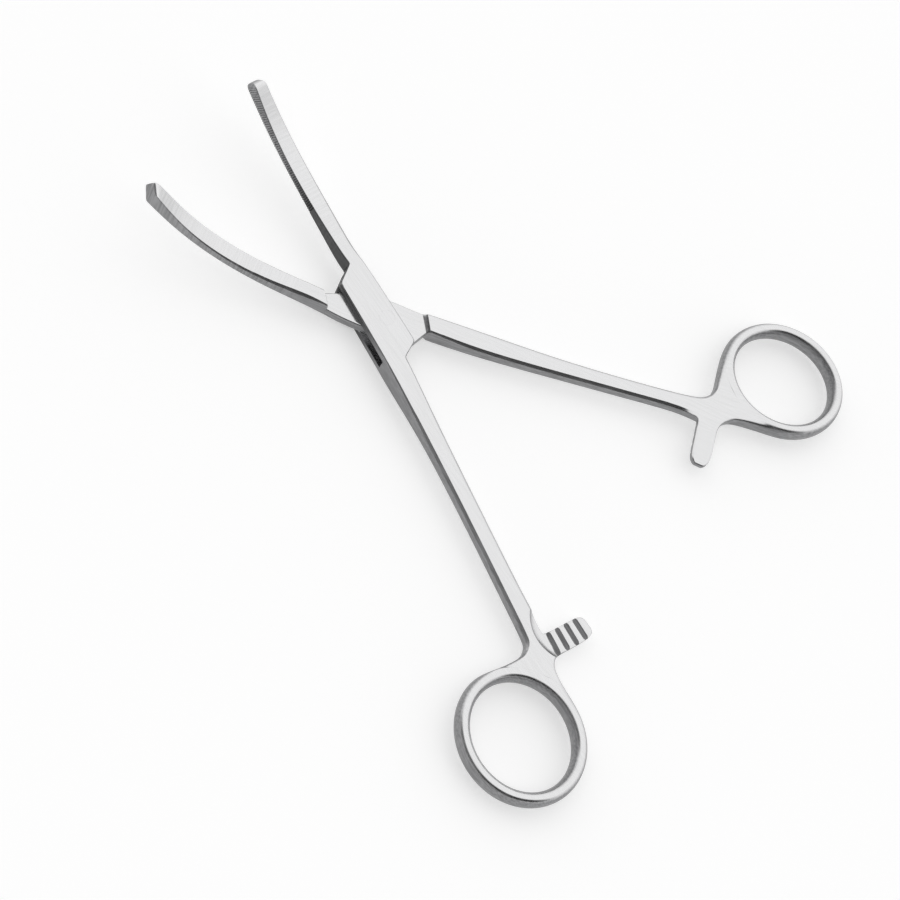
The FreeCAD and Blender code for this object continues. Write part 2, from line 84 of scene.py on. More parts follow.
BEND_START = 17.0
BEND_RADIUS = 65.6
BEND_ANGLE = 33.4
BEND_SAG = 1.0              # how much lower than a true arc the jaw runs before it turns up
SAG_SCALE = 6.75            # brings the sag's curve to 1 at its lowest
JAW_ROWS = 7
JAW_THICKNESS = (4.3, 0.6, 3.7)     # control values of a curve from root to tip
JAW_BACK = (-3.3, -5.4, -2.9)
JAW_BEVEL = (0.65, 0.25, 0.12)      # of the back's edges
GRIP_BEVEL = 0.18           # of the grip face's edges
JAW_UNDER = 1.4             # underside of the jaw's root, below the mid-plane
GRIP_HOLLOW = 0.45          # how deep the grip face bows in at mid-jaw
NOSE_INSET = 0.34
NOSE_ROUND = 0.40           # length of the rounding behind the tip's end
NOSE_BULGE = (0.20, 0, 0.13)
SLANT_FROM = 0.3            # how far behind the tip its slant starts

BOX_BEVEL = 0.30
SHANK_BEVEL = 0.62
FAINT_EDGE = 0.40           # creases, from the softest to the hardest corner
SOFT_EDGE = 0.60
CRISP_EDGE = 0.62
HARD_EDGE = 0.80


# An arm is drawn as it lies when the forceps are closed: pivot at the origin, jaws towards +X,
# mid-plane at Z = 0. Its outer side is the +Y side, where its own ring lies.
def slab(outer_top, inner_top, inner_bottom, outer_bottom, bevel, inner_bevel=None):
    """Cage points round one bevelled section of an arm, from four corners: across the upper
    face from the outer side, down the inner side, back below and up the outer side."""
    inner_bevel = inner_bevel or bevel
    across_top = (inner_top - outer_top).normalized()
    across_bottom = (inner_bottom - outer_bottom).normalized()
    down_outer = (outer_bottom - outer_top).normalized() * bevel
    down_inner = (inner_bottom - inner_top).normalized() * inner_bevel
    inner_side = [inner_top.lerp(inner_bottom, share) for share in SIDE_SHARES]
    outer_side = [outer_bottom.lerp(outer_top, share) for share in SIDE_SHARES]
    return [
        outer_top + down_outer,
        outer_top + across_top * bevel,
        *[outer_top.lerp(inner_top, share) for share in FACE_SHARES],
        inner_top - across_top * inner_bevel,
        inner_top + down_inner,
        *inner_side,
        inner_bottom - down_inner,
        inner_bottom - across_bottom * inner_bevel,
        *[inner_bottom.lerp(outer_bottom, share) for share in FACE_SHARES],
        outer_bottom + across_bottom * bevel,
        outer_bottom - down_outer,
        *outer_side,
    ]


def flat_slab(outer, inner, half, bevel, under=None):
    """A section that stands upright: its two sides in plan, its height above the mid-plane,
    and its depth below where that is less."""
    low = -(under or half)
    corners = [(*outer, half), (*inner, half), (*inner, low), (*outer, low)]
    return slab(*[Vector(corner) for corner in corners], bevel)


def curve_value(controls, share):
    """The height of a smooth curve from its first to its last control value."""
    first, middle, last = controls
    return first * (1 - share) ** 2 + middle * 2 * share * (1 - share) + last * share ** 2


def jaw_slab(share, inset=0.0, overrun=0.0, slant=0.0):
    """A section across the jaw, from its root (0) to its tip (1), square to the bend. Inset
    makes it smaller all round, overrun moves it on along the jaw, and slant turns it so that
    the grip side reaches further."""
    angle = math.radians(BEND_ANGLE) * share
    along = Vector((math.cos(angle), 0, math.sin(angle)))
    down = Vector((math.sin(angle), 0, -math.cos(angle)))
    start = Vector((BEND_START, 0, BOX_HALF))
    upper = start + Vector((math.sin(angle), 0, 1 - math.cos(angle))) * BEND_RADIUS
    upper += along * overrun + down * inset
    upper.z -= BEND_SAG * SAG_SCALE * share ** 2 * (1 - share)
    lower = upper + down * (curve_value(JAW_THICKNESS, share) - inset * 2)
    grip = GRIP - GRIP_HOLLOW * 4 * share * (1 - share) - inset / 2
    back = curve_value(JAW_BACK, share) + inset
    reach = along * slant
    corners = [(upper + reach, grip), (upper - reach, back), (lower - reach, back), (lower + reach, grip)]
    bevel = curve_value(JAW_BEVEL, share)
    return slab(*[Vector((place.x, side, place.z)) for place, side in corners], GRIP_BEVEL, bevel)


def add_row(cage, points):
    return [cage.verts.new(point) for point in points]


def bridge(cage, row, following, skip=()):
    """Skin the strip between two rows, leaving out the faces in skip."""
    for k in range(len(row)):
        if k not in skip:
            n = (k + 1) % len(row)
            cage.faces.new((row[k], row[n], following[n], following[k]))


def cap(cage, row, down, bulge):
    """Close the end of an arm, a jaw or a bar with a grid of faces, bulged out a little."""
    top = row[:ROW_ACROSS]
    inner = row[ROW_ACROSS:ROW_ACROSS + down]
    bottom = row[ROW_ACROSS + down:ROW_ACROSS * 2 + down][::-1]
    outer = row[ROW_ACROSS * 2 + down:][::-1]
    grid = [top]
    for j in range(down):
        line = [outer[j]]
        for k in range(1, ROW_ACROSS - 1):
            share = (j + 1) / (down + 1)
            line.append(cage.verts.new(top[k].co.lerp(bottom[k].co, share) + bulge))
        grid.append(line + [inner[j]])
    grid.append(bottom)
    for line, following in zip(grid, grid[1:]):
        for k in range(ROW_ACROSS - 1):
            cage.faces.new((line[k], following[k], following[k + 1], line[k + 1]))


def crease(cage, chain, value):
    """Keep the edges along a chain of points crisp while the cage is rounded off."""
    layer = cage.edges.layers.float.get("crease_edge") or cage.edges.layers.float.new("crease_edge")
    for start, end in zip(chain, chain[1:]):
        edge = cage.edges.get((start, end))
        if edge:
            edge[layer] = value


LONG_EDGES = (0, 1, 4, 5, 9, 10, 13, 14)    # cage columns that run along an arm's bevels
OUTER_EDGES = (0, 1, 13, 14)
OUTER_WALL = (14, 15, 16, 17, 0, 1)         # cage columns up an arm's outer side
INNER_WALL = (4, 5, 6, 7, 8, 9, 10)
BAR_EDGES = (0, 1, 4, 5, 7, 8, 11, 12)


def cage_growth(corners):
    """How much larger a round cage is than the smooth round that it makes."""
    return 1 / (2 / 3 + math.cos(2 * math.pi / corners) / 3)


def ring_place(station, column):
    """A cage point of the finger ring: station counts round the ring, column round its wire."""
    spread = math.radians(RING_SPREAD)
    centre = Vector((-RING_REACH * math.cos(spread), RING_REACH * math.sin(spread), 0))
    turn = 2 * math.pi / RING_STATIONS * station
    half_long, half_short = [(hole + RING_WIRE[0]) / 2 for hole in RING_HOLE]
    middle = Vector((half_long * math.cos(turn), -half_short * math.sin(turn), 0))
    outward = Vector((half_short * math.cos(turn), -half_long * math.sin(turn), 0)).normalized()
    wire_growth = cage_growth(RING_COLUMNS)
    tilt = 2 * math.pi * column / RING_COLUMNS
    out = RING_WIRE[0] / 2 * wire_growth * math.cos(tilt)
    up = RING_WIRE[1] / 2 * wire_growth * math.sin(tilt)
    return centre + middle * cage_growth(RING_STATIONS) + outward * out + Vector((0, 0, up))


def add_ring(cage, last_row):
    """The finger ring, open where the flare from the shank's last row grows into it."""
    rings = [add_row(cage, [ring_place(k, c) for c in range(RING_COLUMNS)]) for k in range(RING_STATIONS)]
    low = RING_COLUMNS - RING_UPPER
    mouth = set(range(RING_UPPER)) | set(range(low, RING_COLUMNS))
    for k in range(RING_STATIONS):
        bridge(cage, rings[k], rings[(k + 1) % RING_STATIONS], mouth if k < FLARE_STATIONS else ())
    side = [1, 0, RING_COLUMNS - 1]
    border = [rings[k][RING_UPPER] for k in range(FLARE_STATIONS + 1)]
    border += [rings[FLARE_STATIONS][c] for c in side]
    border += [rings[k][low] for k in range(FLARE_STATIONS, -1, -1)]
    border += [rings[0][c] for c in side[::-1]]
    for k in range(1, FLARE_STATIONS):
        rings[k][RING_UPPER].co.z = FLARE_CREST
        rings[k][low].co.z = -FLARE_CREST
    bridge(cage, last_row, border)
    loose = [vertex for vertex in cage.verts if not vertex.link_faces]
    bmesh.ops.delete(cage, geom=loose, context="VERTS")


BAR_EDGE = 0.1              # share of the lock bar's width that each rounded edge takes
BAR_RIM = 0.22              # how far that edge is rounded down
BAR_BULGE = 0.25            # of its end


def bar_row(near, far, along, top, bottom):
    """Points round the lock bar at one distance from the tool's axis. near and far are the
    radii of its two sides about the pivot."""
    shares = (0, BAR_EDGE, *FACE_SHARES, 1 - BAR_EDGE, 1)
    reach = [-math.sqrt((near + (far - near) * share) ** 2 - along ** 2) for share in shares]
    drops = (BAR_RIM, 0, 0, 0, 0, BAR_RIM)
    upper = [Vector((x, along, top - drop)) for x, drop in zip(reach, drops)]
    lower = [Vector((x, along, bottom + drop)) for x, drop in zip(reach, drops)][::-1]
    middle = (top + bottom) / 2
    return [*upper, Vector((reach[-1], along, middle)), *lower, Vector((reach[0], along, middle))]


def add_bar(cage, rows, columns, near, far, stops, top, bottom):
    """Grow the lock bar out of the shank's inner side, between six of its rows."""
    upper, side, lower = columns
    border = [row[upper] for row in rows] + [rows[-1][side]]
    border += [row[lower] for row in rows[::-1]] + [rows[0][side]]
    last = border
    chains = []
    for inset, along in stops:
        row = add_row(cage, bar_row(near + inset, far - inset, along, top, bottom))
        bridge(cage, last, row)
        chains.append(row)
        last = row
    cap(cage, last, 1, Vector((0, -BAR_BULGE, 0)))
    for column in BAR_EDGES:
        crease(cage, [row[column] for row in chains], SOFT_EDGE)


def apply_modifiers(piece):
    """Make what the piece's modifiers give its own plain mesh."""
    graph = bpy.context.evaluated_depsgraph_get()
    graph.update()
    solid = bpy.data.meshes.new_from_object(piece.evaluated_get(graph))
    piece.modifiers.clear()
    old = piece.data
    piece.data = solid
    bpy.data.meshes.remove(old)


def smooth_mesh(cage, name):
    """Round the cage off and hand back its smooth surface as an object, still in mm."""
    bmesh.ops.recalc_face_normals(cage, faces=cage.faces)
    mesh = bpy.data.meshes.new(name)
    cage.to_mesh(mesh)
    cage.free()
    piece = bpy.data.objects.new(name, mesh)
    bpy.context.scene.collection.objects.link(piece)
    rounding = piece.modifiers.new("rounding", "SUBSURF")
    rounding.levels = SUBDIVISIONS
    rounding.render_levels = SUBDIVISIONS
    apply_modifiers(piece)
    return piece


def lathe(profile, centre, segments=96):
    """A closed cutter turned about an upright axis. The profile runs from the axis at the
    bottom to the axis at the top, as (radius, height)."""
    cutter = bmesh.new()
    rows = []
    for radius, height in profile[1:-1]:
        turns = [2 * math.pi * k / segments for k in range(segments)]
        spots = [(centre[0] + radius * math.cos(turn), centre[1] + radius * math.sin(turn)) for turn in turns]
        rows.append(add_row(cutter, [(*spot, height) for spot in spots]))
    for row, following in zip(rows, rows[1:]):
        bridge(cutter, row, following)
    cutter.faces.new(rows[0][::-1])
    cutter.faces.new(rows[-1])
    return cutter


def prism(outline, half):
    """A closed upright cutter with a straight-sided plan, half above and half below mid-plane."""
    cutter = bmesh.new()
    low, high = [add_row(cutter, [(x, y, z) for x, y in outline]) for z in (-half, half)]
    bridge(cutter, low, high)
    cutter.faces.new(low[::-1])
    cutter.faces.new(high)
    return cutter


def cut_away(piece, cutter):
    """Cut a closed shape out of the piece."""
    bmesh.ops.recalc_face_normals(cutter, faces=cutter.faces)
    mesh = bpy.data.meshes.new("cutter")
    cutter.to_mesh(mesh)
    cutter.free()
    tool = bpy.data.objects.new("cutter", mesh)
    bpy.context.scene.collection.objects.link(tool)
    cutting = piece.modifiers.new("cutting", "BOOLEAN")
    cutting.operation = "DIFFERENCE"
    cutting.solver = "MANIFOLD"
    cutting.object = tool
    apply_modifiers(piece)
    bpy.data.objects.remove(tool)
    bpy.data.meshes.remove(mesh)


def row_of_cuts_tree():
    """Cut a row of equal grooves, each made by a long square bar turned on its edge. The bars
    stand at equal angles round a pivot. Hollow moves them along a shallow bow."""
    tree = bpy.data.node_groups.new("row_of_cuts", "GeometryNodeTree")
    sockets = (
        ("Arm", "Geometry"), ("Bar Size", "Vector"), ("Bar Turn", "Vector"), ("First Place", "Vector"),
        ("Pivot", "Vector"), ("Axis", "Vector"), ("Start Angle", "Float"), ("Step Angle", "Float"),
        ("Count", "Int"), ("Hollow", "Float"), ("Hollow Span", "Float"), ("Steel", "Material"),
    )
    for name, kind in sockets:
        tree.interface.new_socket(name, in_out="INPUT", socket_type="NodeSocket" + kind)
    tree.interface.new_socket("Arm", in_out="OUTPUT", socket_type="NodeSocketGeometry")
    given = tree.nodes.new("NodeGroupInput").outputs

    def node(kind, **inputs):
        made = tree.nodes.new(kind)
        for key, value in inputs.items():
            socket = made.inputs[int(key[1:])] if key[0] == "_" else made.inputs[key.replace("_", " ")]
            if isinstance(value, bpy.types.NodeSocket):
                tree.links.new(value, socket)
            else:
                socket.default_value = value
        return made

    def reckon(operation, first, second):
        made = node("ShaderNodeMath", _0=first, _1=second)
        made.operation = operation
        return made.outputs[0]

    bar = node("GeometryNodeMeshCube", Size=given["Bar Size"]).outputs["Mesh"]
    bar = node("GeometryNodeTransform", Geometry=bar, Rotation=given["Bar Turn"]).outputs[0]
    place = node("ShaderNodeVectorMath", _0=given["Pivot"], _1=given["First Place"]).outputs[0]
    points = node("GeometryNodePoints", Count=given["Count"], Position=place).outputs[0]
    bars = node("GeometryNodeInstanceOnPoints", Points=points, Instance=bar).outputs[0]
    index = node("GeometryNodeInputIndex").outputs[0]
    angle = reckon("ADD", given["Start Angle"], reckon("MULTIPLY", index, given["Step Angle"]))
    share = reckon("DIVIDE", angle, given["Hollow Span"])
    bow = reckon("MULTIPLY", reckon("MULTIPLY", share, reckon("SUBTRACT", 1.0, share)), given["Hollow"])
    shift = node("ShaderNodeCombineXYZ", Y=reckon("MULTIPLY", bow, -4.0)).outputs[0]
    bars = node("GeometryNodeTranslateInstances", Instances=bars, Translation=shift,
                Local_Space=False).outputs[0]
    turn = node("FunctionNodeAxisAngleToRotation", Axis=given["Axis"], Angle=angle).outputs[0]
    bars = node("GeometryNodeRotateInstances", Instances=bars, Rotation=turn, Pivot_Point=given["Pivot"],
                Local_Space=False).outputs[0]
    bars = node("GeometryNodeRealizeInstances", Geometry=bars).outputs[0]
    cutting = node("GeometryNodeMeshBoolean", _0=given["Arm"], _1=bars)
    cutting.operation = "DIFFERENCE"
    cutting.solver = "MANIFOLD"
    whole = node("GeometryNodeRealizeInstances", Geometry=cutting.outputs[0]).outputs[0]
    painted = node("GeometryNodeSetMaterial", Geometry=whole, Material=given["Steel"]).outputs[0]
    node("NodeGroupOutput", Arm=painted)
    return tree


row_of_cuts = row_of_cuts_tree()


def cut_row(piece, **values):
    """Run the row_of_cuts tree on a piece, with its inputs by name."""
    modifier = piece.modifiers.new("row_of_cuts", "NODES")
    modifier.node_group = row_of_cuts
    for item in row_of_cuts.interface.items_tree:
        key = item.name.replace(" ", "_").lower()
        if item.in_out == "INPUT" and key in values:
            modifier[item.identifier] = values[key]
    apply_modifiers(piece)


SERRATION_PITCH = 0.5
SERRATION_DEPTH = 0.2
SERRATION_RISE = 1.2        # how far the cutting bar's middle stands back, in groove depths
SERRATION_LENGTH = 7.0      # longer than the jaw is thick
SERRATION_LOW = 1.5         # middle of the cutting bar, below the jaw's upper face
SERRATIONS = 56


def serrate(piece, steel):
    """Fine grooves across the grip face, square to the bend, from the tip back to mid-jaw."""
    half_diagonal = SERRATION_DEPTH * SERRATION_RISE
    side = half_diagonal * math.sqrt(2)
    step = SERRATION_PITCH / BEND_RADIUS
    cut_row(piece, bar_size=(side, side, SERRATION_LENGTH), bar_turn=(0.0, 0.0, math.radians(45)),
            first_place=(0.0, GRIP + half_diagonal - SERRATION_DEPTH, -BEND_RADIUS - SERRATION_LOW),
            pivot=(BEND_START, 0.0, BOX_HALF + BEND_RADIUS), axis=(0.0, 1.0, 0.0),
            start_angle=-math.radians(BEND_ANGLE) - step, step_angle=step, count=SERRATIONS,
            hollow=GRIP_HOLLOW, hollow_span=-math.radians(BEND_ANGLE), steel=steel)


TOOTH_BAR = (7.0, 1.4, 1.4)
TOOTH_SLOPE = 35.0          # degrees, of a tooth's long flank
TOOTH_STEP = 1.75           # degrees round the pivot from tooth to tooth
TEETH = 4


def cut_teeth(piece, reach, height, start, steel):
    """Saw-tooth grooves across the lock bar's toothed face, from a start angle on."""
    cut_row(piece, bar_size=TOOTH_BAR, bar_turn=(math.radians(TOOTH_SLOPE), 0.0, 0.0),
            first_place=(-reach, 0.0, height), pivot=(0.0, 0.0, 0.0), axis=(0.0, 0.0, 1.0),
            start_angle=-math.radians(start), step_angle=-math.radians(TOOTH_STEP), count=TEETH,
            hollow=0.0, hollow_span=1.0, steel=steel)


def set_down(piece, side):
    """Carry an arm to its place in the open tool: the female arm as drawn, the male arm (-1)
    as its mirror image."""
    turn = Matrix.Rotation(math.radians(-REST_OPENING / 2 * side), 4, "Z")
    flip = Matrix.Diagonal((1, side, 1, 1))
    lift = Matrix.Translation((0, 0, BOX_HALF))
    piece.data.transform(Matrix.Scale(MM, 4) @ lift @ turn @ flip)
    if side < 0:
        piece.data.flip_normals()
    piece.data.shade_smooth()
    piece.data.set_sharp_from_angle(angle=math.radians(SHARP_ANGLE))


def jaw_rows(cage, reach, slant):
    """Rows from the jaw's tip back to its root, with the rounded nose closed. Reach is how far
    the nose stands out past the bend's end."""
    nose = add_row(cage, jaw_slab(1.0, NOSE_INSET, reach, slant))
    cap(cage, nose, ROW_DOWN, Vector(NOSE_BULGE))
    rows = [nose, add_row(cage, jaw_slab(1.0, 0.02, reach - NOSE_ROUND, slant))]
    rows.append(add_row(cage, jaw_slab(1.0, 0.0, -SLANT_FROM, slant / 2)))
    rows += [add_row(cage, jaw_slab(1 - k / (JAW_ROWS - 1))) for k in range(1, JAW_ROWS)]
    return rows


def skin(cage, rows, gap_rows=(), gap=()):
    """Skin the whole arm, leaving an opening for the lock bar between some of its rows."""
    for k in range(len(rows) - 1):
        bridge(cage, rows[k], rows[k + 1], gap if k in gap_rows else ())


def new_group(name, inputs, outputs):
    """A shader node group with named sockets."""
    group = bpy.data.node_groups.new(name, "ShaderNodeTree")
    for socket, kind in inputs:
        group.interface.new_socket(socket, in_out="INPUT", socket_type="NodeSocket" + kind)
    for socket, kind in outputs:
        group.interface.new_socket(socket, in_out="OUTPUT", socket_type="NodeSocket" + kind)
    return group


def shader_node(tree, kind, settings=(), **inputs):
    """Add a node, with its settings, and with its inputs by name or by number (_0)."""
    made = tree.nodes.new(kind)
    for name, value in settings:
        setattr(made, name, value)
    for key, value in inputs.items():
        socket = made.inputs[int(key[1:])] if key[0] == "_" else made.inputs[key.replace("_", " ")]
        if isinstance(value, bpy.types.NodeSocket):
            tree.links.new(value, socket)
        else:
            socket.default_value = value
    return made


def ramp(tree, value, low, high, from_value=0.0, to_value=1.0):
    """Carry a value smoothly from from_value at low to to_value at high."""
    made = shader_node(tree, "ShaderNodeMapRange", (("interpolation_type", "SMOOTHSTEP"),), Value=value,
                       From_Min=low, From_Max=high, To_Min=from_value, To_Max=to_value)
    return made.outputs["Result"]


def grain_group():
    """Fine brushed lines that run along the local X of the given turn."""
    group = new_group("brushed_grain", (("Turn", "Vector"), ("Along", "Float"), ("Across", "Float")),
                      (("Height", "Float"),))
    given = shader_node(group, "NodeGroupInput").outputs
    place = shader_node(group, "ShaderNodeTexCoord").outputs["Object"]
    turned = shader_node(group, "ShaderNodeMapping", Vector=place, Rotation=given["Turn"]).outputs[0]
    size = shader_node(group, "ShaderNodeCombineXYZ", X=given["Along"], Y=given["Across"],
                       Z=given["Across"]).outputs[0]
    drawn = shader_node(group, "ShaderNodeVectorMath", (("operation", "MULTIPLY"),), _0=turned, _1=size)
    lines = shader_node(group, "ShaderNodeTexNoise", Vector=drawn.outputs[0], Scale=1.0, Detail=3.0)
    shader_node(group, "NodeGroupOutput", Height=lines.outputs[0])
    return group


def polish_and_side_shade_group():
    """Which faces look up or down (1) and which are sides (0). The sides are rougher, as ground,
    and the colour paints them darker: painted shade on the sides and down the ring's walls.
    Handling scuffs both a little, and concave places get painted shade."""
    group = new_group("polish", (("Low", "Float"), ("High", "Float")),
                      (("Polish", "Float"), ("Wear", "Float"), ("Cavity", "Float")))
    given = shader_node(group, "NodeGroupInput").outputs
    coords = shader_node(group, "ShaderNodeTexCoord").outputs
    up = shader_node(group, "ShaderNodeSeparateXYZ", Vector=coords["Normal"]).outputs["Z"]
    level = shader_node(group, "ShaderNodeMath", (("operation", "ABSOLUTE"),), _0=up).outputs[0]
    polish = ramp(group, level, given["Low"], given["High"])
    clouds = shader_node(group, "ShaderNodeTexNoise", Vector=coords["Object"], Scale=180.0, Detail=4.0)
    scuffs = ramp(group, clouds.outputs[0], 0.45, 0.75)
    point = shader_node(group, "ShaderNodeNewGeometry").outputs["Pointiness"]
    edge = ramp(group, point, 0.52, 0.62)
    wear = shader_node(group, "ShaderNodeMath", (("operation", "MAXIMUM"),), _0=scuffs, _1=edge).outputs[0]
    # Painted shade: concave places, such as groove bottoms, the scoop and the corners of the slot, are
    # darkened in the colour.
    crease_shade = ramp(group, point, 0.42, 0.49, 0.25, 1.0)
    shader_node(group, "NodeGroupOutput", Polish=polish, Wear=wear, Cavity=crease_shade)
    return group


brushed_grain = grain_group()
polish = polish_and_side_shade_group()


SIDE_SHADE_GREY = 0.27                # grey of the sides: painted shade, darker than the faces that look up or down
POLISHED = (0.78, 0.78, 0.785, 1)
COOLER = 1.02               # how much bluer than grey the ground sides are
SATIN_ROUGHNESS = 0.34
POLISHED_ROUGHNESS = 0.17
WORN_ROUGHNESS = 0.07       # added where handling has scuffed the steel
SATIN_STREAKS = (0.80, 1.20)        # how much a brushed line darkens or lightens the steel
POLISHED_STREAKS = (0.975, 1.015)
JAW_FROM = 16.0             # where lengthwise brushing gives way to crosswise, in mm
LOCK_SHADE_SPAN = (-5.0, 4.0, 26.0, 42.0)   # start, full, full, end of the painted shade by the lock, in mm


def steel_material(name, turn, lock_shade):
    """Polished stainless steel. The shank is brushed lengthwise and the jaw across. Its sides are
    painted darker than the faces that look up or down, lock_shade paints them darker still by the
    lock, where little light gets in, and creases and hollows are painted darker: all painted shade."""
    steel = bpy.data.materials.new(name)
    steel.use_nodes = True
    tree = steel.node_tree
    shader = tree.nodes["Principled BSDF"]
    shader.inputs["Metallic"].default_value = 1.0
    finish_and_shade = shader_node(tree, "ShaderNodeGroup", (("node_tree", polish),), Low=0.50, High=0.97).outputs
    turned = (0.0, 0.0, math.radians(turn))
    lengthwise = shader_node(tree, "ShaderNodeGroup", (("node_tree", brushed_grain),), Turn=turned,
                             Along=120.0, Across=2600.0).outputs[0]
    crosswise = shader_node(tree, "ShaderNodeGroup", (("node_tree", brushed_grain),), Turn=turned,
                            Along=2600.0, Across=150.0).outputs[0]
    place = shader_node(tree, "ShaderNodeTexCoord").outputs["Object"]
    along = shader_node(tree, "ShaderNodeSeparateXYZ", Vector=place).outputs["X"]
    on_jaw = ramp(tree, along, JAW_FROM * MM, (JAW_FROM + 4) * MM)
    grain = shader_node(tree, "ShaderNodeMix", Factor=on_jaw, A=lengthwise, B=crosswise).outputs["Result"]
    start, full, still_full, end = [place * MM for place in LOCK_SHADE_SPAN]
    # Painted shade on the sides by the lock, where little light reaches them.
    lock_shade_zone = shader_node(tree, "ShaderNodeMath", (("operation", "MULTIPLY"),),
                            _0=ramp(tree, along, start, full),
                            _1=ramp(tree, along, still_full, end, 1.0, 0.0)).outputs[0]
    shade = SIDE_SHADE_GREY * lock_shade
    ground = shader_node(tree, "ShaderNodeMix", (("data_type", "RGBA"),), Factor=lock_shade_zone)
    ground.inputs[6].default_value = (SIDE_SHADE_GREY, SIDE_SHADE_GREY, SIDE_SHADE_GREY * COOLER, 1)
    ground.inputs[7].default_value = (shade, shade, shade * COOLER, 1)
    # Painted shade: the sides take the darker grey and the faces that look up or down the steel's own grey,
    # which also shades the ring's walls down from its crest.
    tone_with_side_shade = shader_node(tree, "ShaderNodeMix", (("data_type", "RGBA"),), Factor=finish_and_shade["Polish"])
    tree.links.new(ground.outputs[2], tone_with_side_shade.inputs[6])
    tone_with_side_shade.inputs[7].default_value = POLISHED
    low, high = [ramp(tree, finish_and_shade["Polish"], 0.0, 1.0, satin, polished)
                 for satin, polished in zip(SATIN_STREAKS, POLISHED_STREAKS)]
    streaks = ramp(tree, grain, 0.3, 0.7, low, high)
    # The painted shade in creases and hollows is multiplied into the colour here.
    streaks = shader_node(tree, "ShaderNodeMath", (("operation", "MULTIPLY"),), _0=streaks,
                          _1=finish_and_shade["Cavity"]).outputs[0]
    streaked_and_shaded = shader_node(tree, "ShaderNodeVectorMath", (("operation", "SCALE"),), _0=tone_with_side_shade.outputs[2],
                           Scale=streaks).outputs[0]
    tree.links.new(streaked_and_shaded, shader.inputs["Base Color"])
    rough = ramp(tree, finish_and_shade["Polish"], 0.0, 1.0, SATIN_ROUGHNESS, POLISHED_ROUGHNESS)
    worn = shader_node(tree, "ShaderNodeMath", (("operation", "MULTIPLY_ADD"),), _0=finish_and_shade["Wear"],
                       _1=WORN_ROUGHNESS, _2=rough).outputs[0]
    tree.links.new(worn, shader.inputs["Roughness"])
    bump = shader_node(tree, "ShaderNodeBump", Strength=0.10, Distance=0.00003, Height=grain)
    tree.links.new(bump.outputs[0], shader.inputs["Normal"])
    return steel


female_paint = steel_material("female_steel", REST_OPENING / 2, 0.22)

cage = bmesh.new()
rows = jaw_rows(cage, reach=1.3, slant=0.0)
jaw_end = len(rows)
box_rows = [
    flat_slab((14.0, GRIP), (13.8, -3.3), BOX_HALF, BOX_BEVEL, JAW_UNDER),
    flat_slab((11.2, 4.3), (10.5, -3.3), BOX_HALF, BOX_BEVEL, 2.7),
    flat_slab((2.0, 5.1), (1.5, -2.9), BOX_HALF, BOX_BEVEL),
    flat_slab((-6.0, 5.85), (-7.2, -2.4), BOX_HALF, BOX_BEVEL),
    flat_slab((-8.4, 6.1), (-9.2, 1.6), BOX_HALF, BOX_BEVEL),
    flat_slab((-13.0, 6.6), (-13.0, 2.1), BOX_HALF - 0.1, BOX_BEVEL),
    flat_slab((-26.4, 8.2), (-26.4, 3.95), 1.72, SHANK_BEVEL),
    flat_slab((-45.0, 11.1), (-45.0, 7.05), 1.60, SHANK_BEVEL),
    flat_slab((-63.2, 14.2), (-63.2, 10.1), 1.58, SHANK_BEVEL),
    flat_slab((-70.3, 15.4), (-70.8, 11.0), 1.60, SHANK_BEVEL),
]
rows += [add_row(cage, points) for points in box_rows]
bar_start = len(rows)
bar_outer = [(-72.3, 15.9), (-72.7, 16.2), (-73.2, 16.7), (-73.6, 17.3), (-73.9, 18.0), (-74.05, 18.7)]
bar_inner = [(-72.6, 11.3), (-73.2, 11.2), (-74.9, 11.2), (-76.6, 11.2), (-77.8, 11.3), (-78.2, 12.3)]
for outer, inner in zip(bar_outer, bar_inner):
    rows.append(add_row(cage, flat_slab(outer, inner, 1.62, SHANK_BEVEL)))
bar_end = len(rows)
rows.append(add_row(cage, flat_slab((-74.1, 20.2), (-79.3, 13.9), 1.72, SHANK_BEVEL)))
rows.append(add_row(cage, flat_slab((-73.7, 23.5), (-82.8, 14.8), 2.0, SHANK_BEVEL)))
skin(cage, rows, range(bar_start, bar_end - 1), (7, 8))
add_ring(cage, rows[-1])
bar_stops = [(0, 10.2), (0, 6.5), (0, 3.2), (0.35, 1.8), (1.2, 1.25)]
add_bar(cage, rows[bar_start:bar_end], columns=(7, 8, 9), near=73.6, far=78.7, stops=bar_stops,
        top=-0.1, bottom=-1.85)
for column in LONG_EDGES:
    crease(cage, [row[column] for row in rows[1:jaw_end + 6]], CRISP_EDGE)
    crease(cage, [row[column] for row in rows[jaw_end + 5:bar_start + 1]], SOFT_EDGE)
for column in OUTER_EDGES:
    crease(cage, [row[column] for row in rows[bar_start:bar_end + 1]], SOFT_EDGE)
for row in (rows[jaw_end], rows[jaw_end + 1]):
    crease(cage, [row[k] for k in (11, 12, 13) + OUTER_WALL + (2, 3)], HARD_EDGE)
for row in (rows[jaw_end + 3], rows[jaw_end + 4]):
    crease(cage, [row[k] for k in INNER_WALL], CRISP_EDGE)
female = smooth_mesh(cage, "female_steel")

# What is cut out of it: the slot for the other arm, the bore for the pin, and the hollow that a
# wheel ground between the shank and the first tooth.
SLOT_HALF = 1.35
BORE = 1.705                # radius
THROUGH = 5.0               # a cutter's height, clear of the arm above and below
SCOOP_CENTRE = (-73.6, 4.7)
SCOOP_FLOOR = -0.08
SCOOP_RIM = 3.0             # radius of the wheel's rounded rim
SCOOP_FLAT = 6.4            # radius of its flat side

